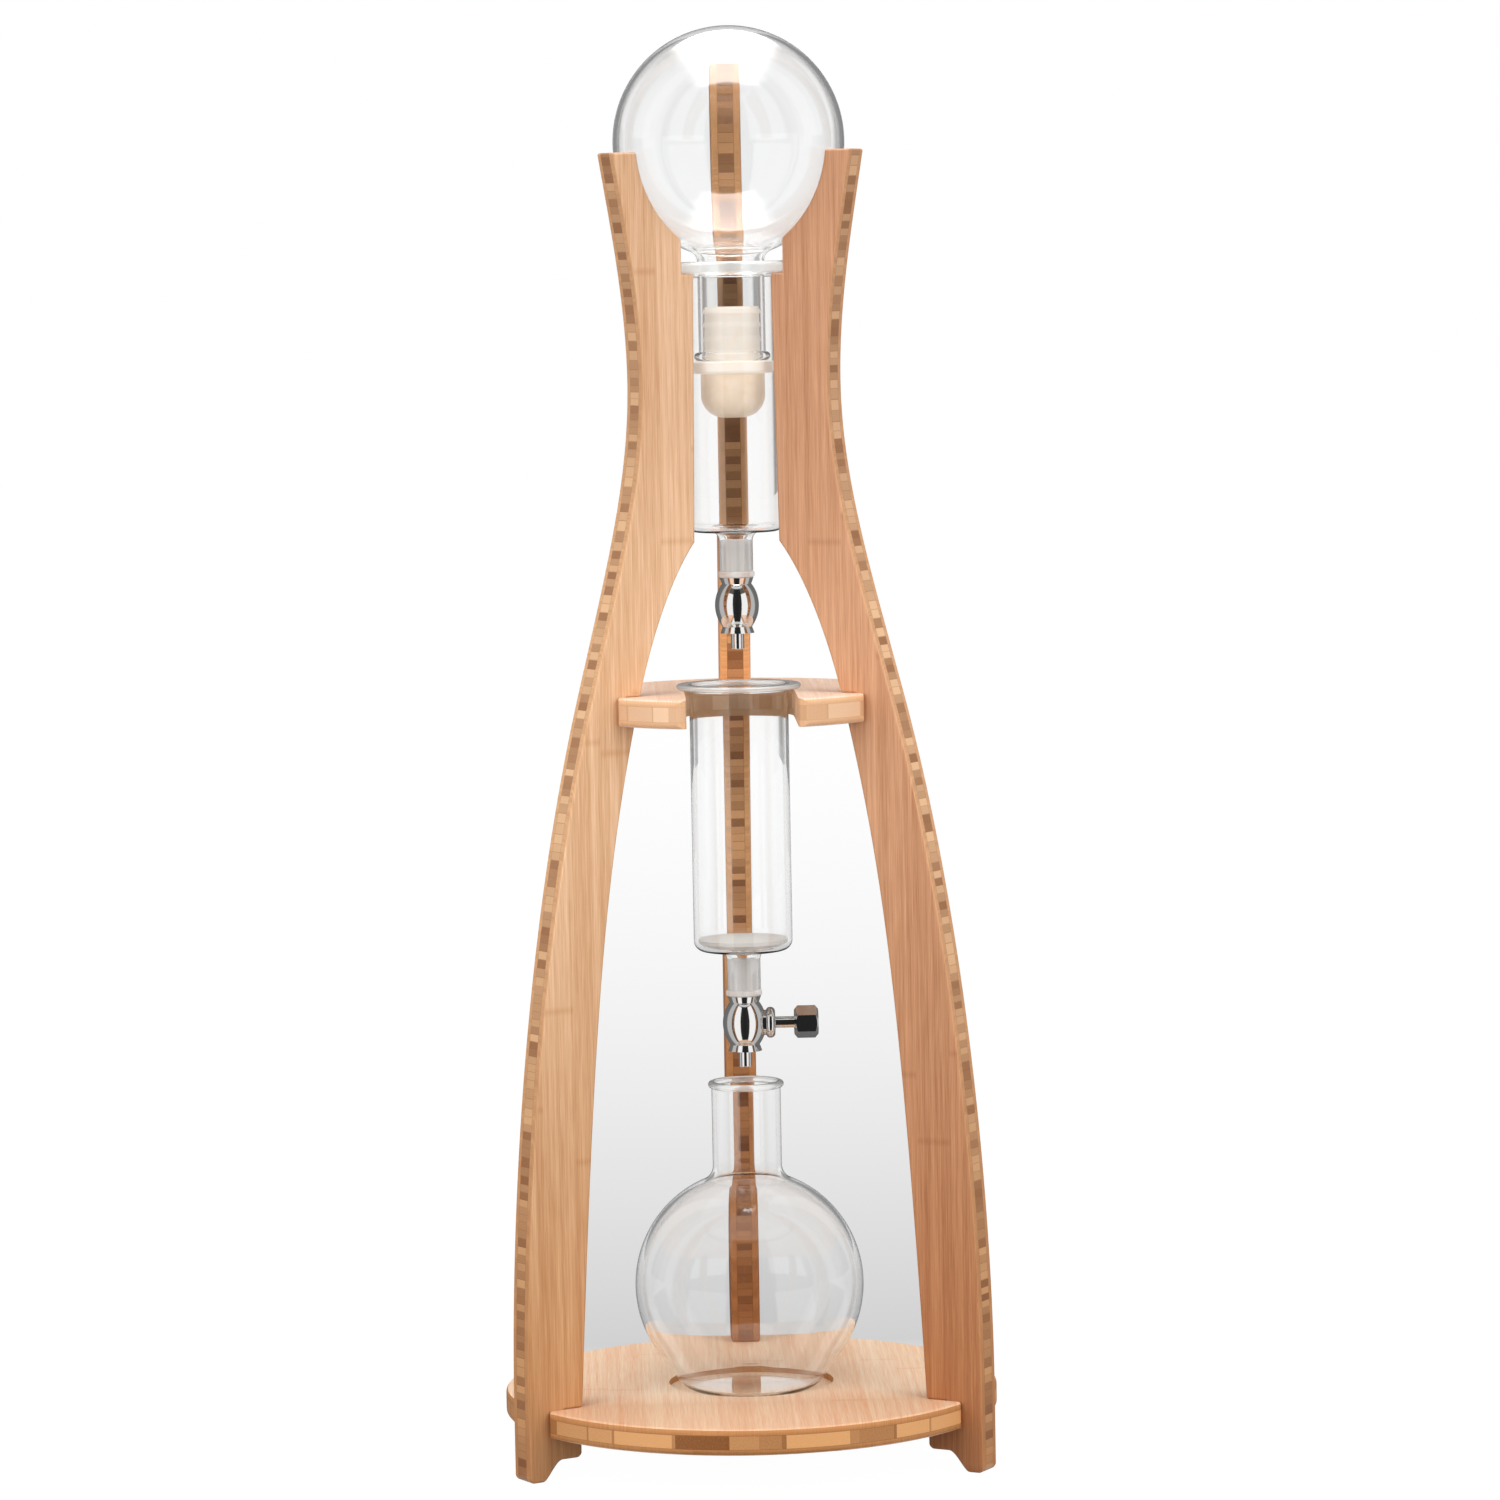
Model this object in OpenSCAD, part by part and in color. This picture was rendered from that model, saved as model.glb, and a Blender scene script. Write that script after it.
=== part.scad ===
// Cold drip coffee tower.
// Three curved legs of bamboo ply carry, from the top down: a water globe standing on its head,
// a drip chamber with a needle tap, a coffee chamber with a second needle tap, and a flask.
// The origin is on the tower's axis at floor level. +Z is up and -Y is the open front.

/* [Boards and legs] */
// Thickness of the leg ply
leg_t = 18; // [15:0.5:20]
// Radius of the base board
base_r = 141; // [134:1:152]
// Thickness of the base board
base_t = 15; // [12:0.5:17]
// Height of the base board's top above the floor
base_top = 40; // [37:1:48]
// Radius of the ring plate
ring_r = 87.5; // [82:0.5:94]
// Thickness of the ring plate
ring_t = 16; // [12:0.5:18]
// Rounding of the boards' rims
board_edge = 3; // [2:0.5:4]
// How far the base board and a leg reach into each other
base_lap = 24; // [20:1:28]
// How far the ring plate and a leg reach into each other
ring_lap = 17.5; // [14:0.5:22]
// Radial width of a leg at the base board
leg_w_base = 35; // [32:1:42]
// Radial width of a leg at the ring plate
leg_w_hip = 31.3; // [28:0.5:38]
// Radial width of a leg at its waist
leg_w_waist = 34.9; // [30:0.5:40]
// Radial width of a leg's top end
arm_w = 15.5; // [12:0.5:20]
// How far the front legs stop below the globe's centre
arm_drop = 5.5; // [2:0.5:12]
// How far the rear leg rises above the front legs
rear_rise = 54; // [20:1:65]
// Radial width of the rear leg's top end
rear_w = 23; // [16:0.5:28]
// Width of a foot on the floor
foot_w = 9.5; // [8:0.5:14]
// Height of the bracket under the base board above the floor
bracket_h = 11.5; // [9:0.5:14]

/* [Globe and stopper] */
// Outer radius of the globe
globe_r = 65.5; // [60:0.5:70]
// Wall of the globe
globe_wall = 2.2; // [1.6:0.1:3]
// Outer radius of the globe's neck
globe_neck_r = 19; // [17:0.5:21]
// Distance from the globe's centre to its lip
globe_neck_h = 123; // [118:1:130]
// How far the lip's bead stands out of the neck
globe_bead = 2.6; // [1.5:0.1:3.2]
// Gap between the drip chamber's rim and the globe's shoulder
globe_gap = 4.6; // [3:0.2:8]
// Length of the plug inside the neck
plug_l = 31; // [24:1:38]
// Radius of the plug's flange
plug_flange_r = 23.3; // [21:0.1:24]
// Thickness of the plug's flange
plug_flange_t = 7; // [5:0.5:9]
// Bore through the plug
plug_bore_r = 4; // [2.5:0.5:5]
// Radius of the drip cup
cup_r = 18.2; // [16:0.2:20]
// Height of the drip cup
cup_h = 25; // [21:0.5:30]
// Wall of the drip cup
cup_wall = 1.8; // [1.2:0.1:2.4]
// Radius of the hole in the drip cup's floor
cup_hole_r = 1.5; // [1:0.25:2.5]

/* [Glass chambers] */
// Outer radius of both chambers
chamber_r = 28.2; // [26:0.2:30]
// Wall of both chambers
chamber_wall = 2.3; // [1.8:0.1:2.8]
// Height of both chambers, rim to floor
chamber_h = 153; // [140:1:165]
// Rounding of the chambers' lower corner
chamber_corner = 6; // [5:0.5:9]
// Radius of the chambers' rims
rim_r = 35.6; // [33.5:0.2:38]
// Thickness of the drip chamber's rim
upper_rim_t = 6.8; // [4:0.2:8]
// Thickness of the coffee chamber's rim
lower_rim_t = 3; // [2.4:0.2:5]
// Outer radius of the outlet stems
stem_r = 9.6; // [8.6:0.2:10.6]
// Length of the outlet stems
stem_l = 22.5; // [18:0.5:28]
// Thickness of the filter disc
filter_t = 4.5; // [3:0.5:8]
// Gap between a chamber's wall and the legs' columns
column_gap = 1.6; // [1:0.2:3]
// Gap between the drip chamber's rim and the seats in the legs
seat_gap = 1.9; // [0.8:0.1:3]
// Gap between the coffee chamber's wall and the ring plate's slot
slot_gap = 3.1; // [1.5:0.1:4.5]

/* [Needle taps] */
// Radius of a tap's barrel at its middle
barrel_r = 12.5; // [11:0.1:13]
// Height of a tap's barrel
barrel_h = 24.4; // [22:0.2:28]
// Radius at the two ends of the barrel
waist_r = 8.4; // [7.6:0.1:9.2]
// Radius of the collar above and the skirt below the barrel
collar_r = 9.7; // [9.4:0.1:10.8]
// Height of the collar and of the skirt
collar_h = 3.6; // [2.8:0.1:4.4]
// Radius of the drip tip
tip_r = 3.8; // [3.2:0.1:4.4]
// Length of the drip tip below the skirt
tip_l = 9.3; // [7:0.1:12]
// Radius of the flow bore
flow_r = 1.2; // [0.8:0.1:1.5]
// Radius of the needle's stem
spindle_r = 3.2; // [2.9:0.1:3.5]
// Radius of the gland nut
gland_r = 8.8; // [8:0.1:10]
// Thickness of the gland nut
gland_t = 5.2; // [4.8:0.1:6.4]
// Length of bare stem between the gland nut and the knob
stem_show = 11; // [8:0.1:14]
// Width of the hexagonal knob across its flats
knob_w = 16.3; // [13:0.1:18]
// Length of the knob
knob_l = 13.7; // [11:0.1:16]
// Travel of the needle over the knob's two turns
needle_travel = 1.2; // [0.8:0.1:1.4]
// Direction of the upper knob, from +X
upper_knob_angle = 90; // [0:5:355]
// Direction of the lower knob, from +X
lower_knob_angle = 0; // [0:5:355]
// Thickness of the silicone sleeves' flanges
sleeve_flange_t = 3.4; // [2.6:0.1:4.4]
// Radius of the silicone sleeves' flanges
sleeve_flange_r = 10.4; // [10:0.1:11.6]

/* [Flask] */
// Outer radius of the flask's body
flask_r = 65.5; // [58:0.5:72]
// Wall of the flask
flask_wall = 2.2; // [1.6:0.1:3]
// Height of the flask
flask_h = 177.5; // [165:0.5:190]
// Height of the body's centre above its flat bottom
flask_rise = 60; // [54:0.5:66]
// Radius of the flat bottom
flask_flat_r = 33; // [28:0.5:40]
// Outer radius of the flask's neck
flask_neck_r = 19.8; // [17.5:0.1:22]
// How far the flask's lip stands out of the neck
flask_bead = 1.9; // [1.2:0.1:2.6]
// Radius of the recess in the base board
recess_r = 47.3; // [45:0.1:52]
// Depth of the recess
recess_d = 3.5; // [2:0.5:5]

/* [Gaps] */
// Gap from the lower drip tip to the flask's lip
lower_drip_gap = 8.2; // [5:0.1:20]
// Gap from the upper drip tip to the coffee chamber's rim
upper_drip_gap = 19.6; // [12:0.1:35]

/* [Hidden] */
$fn = 96;

// clearances
rest_gap = 0.2;      // under a glass that is lifted or slid off its seat
joint_gap = 0.1;     // radial gap of boards in their laps, and of pressed pieces
run_gap = 0.05;      // radial running gap
globe_clear = 0.3;   // between the globe and the legs' arcs
plug_gap = 0.3;      // between the plug's ribs and the globe's neck
cut = 1;             // how far a cutting shape runs past the surface it opens

// azimuths of the legs
rear_angle = 90;
left_angle = 210;
right_angle = 330;

// heights, stacked from the floor up
base_bottom = base_top - base_t;
flask_bottom = base_top - recess_d + rest_gap;
flask_top = flask_bottom + flask_h;
tap_drop = sleeve_flange_t + rest_gap + 2*collar_h + barrel_h + tip_l;
lower_tip_end = flask_top + lower_drip_gap;
lower_stem_end = lower_tip_end + tap_drop;
coffee_floor = lower_stem_end + stem_l;
coffee_rim = coffee_floor + chamber_h;
ring_top = coffee_rim - lower_rim_t - rest_gap;
ring_bottom = ring_top - ring_t;
upper_tip_end = coffee_rim + upper_drip_gap;
upper_stem_end = upper_tip_end + tap_drop;
drip_floor = upper_stem_end + stem_l;
drip_rim = drip_floor + chamber_h;
seat_h = drip_rim - upper_rim_t;
shoulder = sqrt(pow(globe_r, 2) - pow(globe_neck_r, 2));
globe_h = drip_rim + globe_gap + shoulder;
globe_lip = globe_h - globe_neck_h;
leg_top = globe_h - arm_drop;
rear_top = leg_top + rear_rise;

// radii of the legs
base_in = base_r - base_lap;
foot_out = base_in + leg_w_base;
hip_in = ring_r - ring_lap;
hip_out = hip_in + leg_w_hip;
column_r = chamber_r + column_gap;
column_draft = 2.5;
column_foot = drip_floor - 4.5;
waist_out = column_r + leg_w_waist;
waist_h = column_foot + 0.6*(seat_h - column_foot);
seat_r = rim_r + seat_gap;
arc_r = globe_r + globe_clear;
arm_out = arc_r + arm_w;
rear_out = arc_r + rear_w;
base_lap_r = base_r - base_lap/2;
ring_lap_r = ring_r - ring_lap/2;
leg_corner = 2;
hip_slope = 0.285;
bracket_step = 1;    // the bracket starts this far outside the leg's inner edge
bracket_corner = 2;
foot_sweep = 12;     // length of the curve from the bracket down to the foot

// screws through the legs' brackets into the base board
screw_r = 1.8;
screw_head_r = 3.5;
screw_head_h = 2.6;
screw_sunk = 3.2;
screw_bite = 9;
screw_x = (base_in + base_lap_r)/2 + 1;
screw_point = 2;
screw_point_r = 0.4;
drive_w = 1;         // cross recess in the head
drive_l = 4;
drive_depth = 1.2;

// slot of the ring plate
slot_r = chamber_r + slot_gap;
mouth_r = 4;         // rounding where a slot meets a board's rim

// needle taps, measured from the barrel's centre, with the knob along +X
spigot_r = 4;
spigot_core_r = 3.5;
spigot_l = stem_l - 5;
barbs = 4;
seat_end = -2;       // end of the needle's bore, past the flow bore
needle_r = 1.6;
needle_shoulder = 8;
plinth_r = 7.2;      // flat seat of the gland nut on the barrel
stub_r = 4.6;        // threaded stub that the gland nut turns on
stub_start = barrel_r - 0.3;
stub_end = stub_start + 1.4;
gland_end = stub_start + gland_t;
gland_roof = 0.9;
ring_section = 0.7;  // section radius of the O-ring
ring_centre_r = 3.75;
groove_r = 2.95;
ring_gap = 0.15;     // between the O-ring and the stub when the needle is closed
ring_x = stub_end + ring_section + ring_gap;
knob_start = gland_end + stem_show;
knob_sunk = 9;
knob_chamfer = 2;
knob_proud = 0.2;    // the chamfer cones end this far outside the hexagon's corners
tip_spigot_r = 2.8;
tip_spigot_l = 3;
tip_round = 0.6;
skirt_depth = 2.2;
skirt_wall = 1;      // wall of the hollow skirt at its mouth
skirt_wall_top = 1.4;
gland_round_in = 2.2;
gland_round_out = 2.4;
needle_gap = 0.2;    // between the closed needle and the ends of its bores
needle_point = 2;
needle_point_r = 0.5;

// colours
light_ply = "#dfae78";
red_ply = "#c98d58";
board_ply = "#e2b184";
clear_glass = [0.85, 0.9, 0.9, 0.35];
silicone = "#e6ddcf";
steel = "#b9bbbd";
ceramic = "#efece4";
rubber = "#2b2b2b";

// ---------------------------------------------------------------- outlines

// points along a cubic curve
function curve(p0, p1, p2, p3, steps = 12) =
  [for (i = [0:steps]) let (t = i/steps, s = 1 - t)
    s*s*s*p0 + 3*s*s*t*p1 + 3*s*t*t*p2 + t*t*t*p3];

// all points but the first, to join one curve to the next
function rest_of(points) = [for (i = [1:len(points) - 1]) points[i]];

// outer edge from the floor to the top end, as [radius, height]
function outer_edge(top) = let (
    low = ring_top - base_top,
    mid = waist_h - ring_top,
    high = leg_top - waist_h,
    hip = [hip_out, ring_top],
    waist = [waist_out, waist_h],
    arm = [arm_out, leg_top],
    arm_slope = 0.18)
  concat(
    [[foot_out - leg_corner, 0], [foot_out, leg_corner]],
    curve([foot_out, base_top], [foot_out, base_top + 0.3*low],
          hip + 0.313*low*[hip_slope, -1], hip, 14),
    rest_of(curve(hip, hip + 0.4*mid*[-hip_slope, 1], waist - [0, 0.313*mid], waist)),
    rest_of(curve(waist, waist + [0, 0.35*high], arm - 0.31*high*[arm_slope, 1], arm, 8)),
    top > leg_top
      ? concat(
          rest_of(curve(arm, arm + 0.4*rear_rise*[arm_slope, 1],
                        [rear_out, top - 0.4*rear_rise], [rear_out, top - 2*leg_corner], 5)),
          [[rear_out - 0.6*leg_corner, top - 0.6*leg_corner], [rear_out - 2*leg_corner, top]])
      : []);

// inner edge from the seat of the drip chamber down to the floor
function inner_edge() = let (
    low = ring_top - base_top,
    knee = [column_r + column_draft, column_foot],
    rise = column_foot - ring_top,
    hip = [hip_in, ring_top],
    foot = [base_in, base_top],
    bracket_in = base_in + bracket_step,
    foot_in = foot_out - foot_w)
  concat(
    [[column_r, seat_h]],
    curve(knee, knee + 0.33*rise*[0.8, -1], hip + 0.12*rise*[-0.25, 1], hip, 10),
    rest_of(curve(hip, hip + 0.223*low*[0.25, -1], foot + 0.61*low*[-0.056, 1], foot, 14)),
    [[bracket_in, base_bottom], [bracket_in, bracket_h + bracket_corner],
     [bracket_in + bracket_corner, bracket_h]],
    curve([foot_in - foot_sweep, bracket_h], [foot_in - 2*foot_sweep/3, bracket_h],
          [foot_in - foot_sweep/3, 0.25*bracket_h], [foot_in, 0], 6));

// solid of revolution: keeps the part of a profile right of the axis
module revolve(size = 400) {
  rotate_extrude()
    intersection() {
      children();
      translate([0, -size])
        square([size, 2*size]);
    }
}

// round-edged board
module board(radius, thickness) {
  rotate_extrude() {
    square([radius - board_edge, thickness]);
    translate([0, board_edge])
      square([radius, thickness - 2*board_edge]);
    for (z = [board_edge, thickness - board_edge])
      translate([radius - board_edge, z])
        circle(board_edge);
  }
}

mouth_facets = 3;
run_out = 30;        // how far a slot's cutter runs past the rim

// one side of an opening through a board's rim: its wall, its rounded corner and a run-out
function slot_side(radius, half_w, start) = let (
    centre = [sqrt(pow(radius - mouth_r, 2) - pow(half_w + mouth_r, 2)), half_w + mouth_r],
    sweep = 90 + atan2(centre.y, centre.x),
    corner = [for (i = [0:mouth_facets]) let (turn = i*sweep/mouth_facets)
      centre + mouth_r*[sin(turn), -cos(turn)]],
    end = corner[mouth_facets],
    out = end + 3*(end - corner[mouth_facets - 1]))
  concat([[start, half_w]], corner, [out, [radius + run_out, out.y]]);

// opening through a board's rim along +X, from `start` outwards
module rim_slot(radius, half_w, start) {
  side = slot_side(radius, half_w, start);
  last = len(side) - 1;
  translate([0, 0, -cut])
    linear_extrude(height = ring_t + base_t)
      polygon(concat(side, [for (i = [0:last]) [side[last - i].x, -side[last - i].y]]));
}

// round body with a neck going down to `neck_end`, blended; the body's centre is the origin
module bulb(radius, neck_r, neck_end, blend) {
  centre = [neck_r + blend, -sqrt(pow(radius + blend, 2) - pow(neck_r + blend, 2))];
  inside = centre*(radius - 2)/(radius + blend);
  sphere(radius, $fn = 180);
  translate([0, 0, neck_end])
    cylinder(r = neck_r, h = -neck_end);
  rotate_extrude()
    difference() {
      polygon([[0, inside.y], inside, centre, [0, centre.y]]);
      translate(centre)
        circle(blend);
    }
}

// rectangle right of the axis with its upper and lower outer corners rounded
module rounded_bar(radius, z0, z1, round_low, round_high) {
  translate([0, z0 + round_low])
    square([radius, z1 - z0 - round_low - round_high]);
  for (end = [[z0 + round_low, round_low], [z1 - round_high, round_high]])
    if (end[1] > 0) {
      translate([radius - end[1], end[0]])
        circle(end[1]);
      translate([0, end[0] - end[1]])
        square([radius - end[1], 2*end[1]]);
    }
}

// ---------------------------------------------------------------- boards and legs

module screw_place(angle) {
  rotate([0, 0, angle])
    translate([screw_x, 0, bracket_h])
      children();
}

module base_disc() {
  color(board_ply)
    difference() {
      translate([0, 0, base_bottom])
        difference() {
          board(base_r, base_t);
          for (angle = [left_angle, right_angle, rear_angle])
            rotate([0, 0, angle])
              rim_slot(base_r, leg_t/2 + joint_gap, base_lap_r);
        }
      translate([0, 0, base_top - recess_d])
        cylinder(r = recess_r, h = recess_d + cut);
      for (angle = [left_angle, right_angle, rear_angle])
        screw_place(angle)
          cylinder(r = screw_r + joint_gap, h = base_bottom - bracket_h + screw_bite + 0.5);
    }
}

module ring_plate() {
  color(board_ply)
    translate([0, 0, ring_bottom])
      difference() {
        board(ring_r, ring_t);
        for (angle = [left_angle, right_angle, rear_angle])
          rotate([0, 0, angle])
            rim_slot(ring_r, leg_t/2 + joint_gap, ring_lap_r);
        rotate([0, 0, -90])
          rim_slot(ring_r, slot_r, 0);
        translate([0, 0, -cut])
          cylinder(r = slot_r, h = ring_t + 2*cut);
      }
}

// one leg standing along +X
module leg(top) {
  past = leg_t + 2*cut;
  difference() {
    rotate([90, 0, 0])
      linear_extrude(height = leg_t, center = true)
        polygon(concat(outer_edge(top), [[seat_r, top], [seat_r, seat_h]], inner_edge()));
    // arc that the globe rests in
    translate([0, 0, globe_h])
      rotate([90, 0, 0])
        cylinder(r = arc_r, h = past, center = true, $fn = 180);
    translate([0, -past/2, globe_h])
      cube([arc_r, past, rear_rise + cut]);
    // laps for the two boards
    translate([0, -past/2, ring_bottom])
      cube([ring_lap_r + joint_gap, past, ring_t]);
    translate([0, -past/2, base_bottom])
      cube([base_lap_r + joint_gap, past, base_t]);
    // screw from below
    translate([screw_x, 0, 0]) {
      cylinder(r = screw_r + joint_gap, h = base_top);
      cylinder(r = screw_head_r + joint_gap, h = bracket_h + screw_sunk);
    }
  }
}

module leg_front_left() {
  color(light_ply)
    rotate([0, 0, left_angle])
      leg(leg_top);
}

module leg_front_right() {
  color(red_ply)
    rotate([0, 0, right_angle])
      leg(leg_top);
}

module leg_rear() {
  color(red_ply)
    rotate([0, 0, rear_angle])
      leg(rear_top);
}

module base_screws() {
  shank = base_bottom + screw_bite - bracket_h - screw_sunk;
  color(steel)
    for (angle = [left_angle, right_angle, rear_angle])
      screw_place(angle)
        translate([0, 0, screw_sunk]) {
          translate([0, 0, -screw_head_h])
            difference() {
              cylinder(r = screw_head_r, h = screw_head_h);
              for (turn = [0, 90])
                rotate([0, 0, turn])
                  cube([drive_l, drive_w, 2*drive_depth], center = true);
            }
          cylinder(r = screw_r, h = shank - screw_point);
          translate([0, 0, shank - screw_point])
            cylinder(r1 = screw_r, r2 = screw_point_r, h = screw_point);
        }
}

// ---------------------------------------------------------------- globe and stopper

globe_blend = 6;
neck_bore_r = globe_neck_r - globe_wall;

module globe() {
  color(clear_glass)
    translate([0, 0, globe_h])
      difference() {
        union() {
          bulb(globe_r, globe_neck_r, -globe_neck_h, globe_blend);
          translate([0, 0, -globe_neck_h + globe_bead])
            rotate_extrude()
              translate([globe_neck_r, 0])
                circle(globe_bead);
        }
        bulb(globe_r - globe_wall, neck_bore_r, -globe_neck_h - cut, globe_blend + globe_wall);
      }
}

// silicone plug: a ribbed taper in the neck, a flange under the lip and a spigot for the cup
spigot_h = 6;
cup_bore_r = cup_r - cup_wall;
cup_round = 13;
plug_ribs = 4;
plug_rib = 0.6;      // how far a rib stands out
plug_rib_h = 2.5;
flange_round_low = 2;
flange_round_high = 1;

module stopper_plug() {
  plug_r = neck_bore_r - plug_gap;
  flange_top = globe_lip - rest_gap;
  color(silicone)
    difference() {
      union() {
        translate([0, 0, flange_top])
          cylinder(r1 = plug_r - plug_rib, r2 = plug_r - 2*plug_rib, h = plug_l);
        for (i = [0:plug_ribs - 1])
          translate([0, 0, flange_top + (i + 0.5)*plug_l/plug_ribs])
            cylinder(r1 = plug_r, r2 = plug_r - plug_rib, h = plug_rib_h);
        translate([0, 0, flange_top - plug_flange_t])
          revolve()
            rounded_bar(plug_flange_r, 0, plug_flange_t, flange_round_low, flange_round_high);
        translate([0, 0, flange_top - plug_flange_t - spigot_h])
          cylinder(r = cup_bore_r - joint_gap, h = spigot_h + cut);
      }
      translate([0, 0, flange_top - plug_flange_t - spigot_h - cut])
        cylinder(r = plug_bore_r, h = plug_l + plug_flange_t + spigot_h + 2*cut);
    }
}

module stopper_cup() {
  cup_top = globe_lip - rest_gap - plug_flange_t;
  color(silicone)
    translate([0, 0, cup_top])
      revolve()
        difference() {
          rounded_bar(cup_r, -cup_h, 0, cup_round, 0);
          rounded_bar(cup_bore_r, -cup_h + cup_wall, cut, cup_round - cup_wall, 0);
          translate([0, -cup_h - cut])
            square([cup_hole_r, 2*cut + cup_wall]);
        }
}

// ---------------------------------------------------------------- glass chambers

stem_blend = 5;
stem_bore_r = stem_r - chamber_wall;
rim_round = 2;
rim_flat = 0.2;      // least height of a rim's straight edge
rim_under = 1.2;     // fillet between rim and wall
filter_gap = 0.4;
filter_step = 1;

// outer or inner profile of a chamber, with the rim's top at zero; `inset` is the wall
module chamber_profile(inset) {
  floor_z = -chamber_h + inset;
  blend = stem_blend + inset;
  turn = [stem_r + stem_blend, -chamber_h - stem_blend];
  rounded_bar(chamber_r - inset, floor_z, inset > 0 ? cut : 0, chamber_corner - inset, 0);
  translate([0, -chamber_h - stem_l - (inset > 0 ? cut : 0)])
    square([stem_r - inset, stem_l + chamber_corner]);
  difference() {
    translate([0, turn.y])
      square([turn.x, floor_z - turn.y]);
    translate(turn)
      circle(blend);
    translate([turn.x, turn.y])
      square(blend + cut);
  }
}

module chamber(rim_t) {
  lip = min((rim_t - rim_flat)/2, rim_round);
  color(clear_glass)
    revolve()
      difference() {
        union() {
          chamber_profile(0);
          rounded_bar(rim_r, -rim_t, 0, lip, lip);
          difference() {
            translate([0, -rim_t - rim_under])
              square([chamber_r + rim_under, rim_under]);
            translate([chamber_r + rim_under, -rim_t - rim_under])
              circle(rim_under);
          }
        }
        chamber_profile(chamber_wall);
      }
}

module upper_chamber() {
  translate([0, 0, drip_rim])
    chamber(upper_rim_t);
}

module coffee_chamber() {
  translate([0, 0, coffee_rim])
    chamber(lower_rim_t);
}

module coffee_filter() {
  edge_r = chamber_r - chamber_wall - filter_gap;
  bevel = chamber_corner - chamber_wall - 3*filter_gap;
  color(ceramic)
    translate([0, 0, coffee_floor + chamber_wall + rest_gap]) {
      cylinder(r1 = edge_r - bevel - filter_step, r2 = edge_r, h = bevel);
      translate([0, 0, bevel])
        cylinder(r = edge_r, h = filter_t - bevel);
    }
}

sleeve_short = 4;    // how far the sleeve stays below the chamber's floor
sleeve_round = 1;

// silicone sleeve pressed into a stem, its flange's top at zero
module sleeve() {
  sleeve_r = stem_bore_r - joint_gap;
  color(silicone)
    revolve()
      difference() {
        union() {
          square([sleeve_r, stem_l - sleeve_short]);
          rounded_bar(sleeve_flange_r, -sleeve_flange_t, 0, sleeve_round, sleeve_round);
        }
        translate([0, -sleeve_flange_t - cut])
          square([spigot_r + run_gap, stem_l + sleeve_flange_t + 2*cut]);
      }
}

module upper_sleeve() {
  translate([0, 0, upper_stem_end])
    sleeve();
}

module lower_sleeve() {
  translate([0, 0, lower_stem_end])
    sleeve();
}

// ---------------------------------------------------------------- needle taps

tap_top = barrel_h/2 + collar_h;
belly = barrel_r - waist_r;
belly_r = (pow(barrel_h/2, 2) + pow(belly, 2))/(2*belly);

module tap_body() {
  spigot_top = tap_top + rest_gap + sleeve_flange_t + spigot_l;
  barb = spigot_l/barbs;
  color(steel)
    difference() {
      union() {
        // barrel
        revolve()
          intersection() {
            translate([barrel_r - belly_r, 0])
              circle(belly_r, $fn = 180);
            translate([0, -barrel_h/2])
              square([barrel_r + cut, barrel_h]);
          }
        // collar above and skirt below
        translate([0, 0, barrel_h/2])
          cylinder(r1 = waist_r, r2 = collar_r, h = collar_h);
        translate([0, 0, -tap_top])
          cylinder(r1 = collar_r, r2 = waist_r, h = collar_h);
        // barbed spigot
        cylinder(r = spigot_core_r, h = spigot_top);
        for (i = [0:barbs - 1])
          translate([0, 0, spigot_top - (i + 1)*barb])
            cylinder(r1 = spigot_r, r2 = spigot_core_r, h = barb);
        // seat and stub for the gland nut
        rotate([0, 90, 0]) {
          cylinder(r = plinth_r, h = stub_start);
          cylinder(r = stub_r, h = stub_end);
        }
      }
      // flow bore, socket of the drip tip and hollow of the skirt
      translate([0, 0, -tap_top - cut])
        cylinder(r = flow_r, h = tap_top + spigot_top + 2*cut);
      translate([0, 0, -tap_top])
        cylinder(r = tip_spigot_r + joint_gap, h = skirt_depth + tip_spigot_l + joint_gap);
      translate([0, 0, -tap_top - cut])
        cylinder(r1 = collar_r - 0.6*skirt_wall, r2 = waist_r - skirt_wall_top, h = skirt_depth + cut);
      // needle and spindle bores
      translate([seat_end, 0, 0])
        rotate([0, 90, 0])
          cylinder(r = needle_r + run_gap, h = stub_end);
      translate([needle_shoulder, 0, 0])
        rotate([0, 90, 0])
          cylinder(r = spindle_r + run_gap, h = stub_end);
    }
}

module drip_tip() {
  top = -tap_top + skirt_depth;
  color(steel)
    difference() {
      union() {
        translate([0, 0, -tap_top - tip_l])
          revolve()
            rounded_bar(tip_r, 0, tip_l + skirt_depth, tip_round, 0);
        translate([0, 0, top - cut])
          cylinder(r = tip_spigot_r, h = tip_spigot_l + cut);
      }
      translate([0, 0, -tap_top - tip_l - cut])
        cylinder(r = flow_r, h = tip_l + skirt_depth + tip_spigot_l + 2*cut);
    }
}

// gland nut, a round-edged disc with a chamber for the O-ring
module gland() {
  color(steel)
    translate([stub_start, 0, 0])
      rotate([0, 90, 0])
        difference() {
          revolve()
            rounded_bar(gland_r, 0, gland_t, gland_round_in, gland_round_out);
          translate([0, 0, -cut])
            cylinder(r = stub_r + run_gap, h = gland_t - gland_roof + cut);
          cylinder(r = spindle_r + run_gap, h = gland_t + cut);
        }
}

module o_ring() {
  color(rubber)
    translate([ring_x, 0, 0])
      rotate([0, 90, 0])
        rotate_extrude()
          translate([ring_centre_r, 0])
            circle(ring_section, $fn = 24);
}

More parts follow.
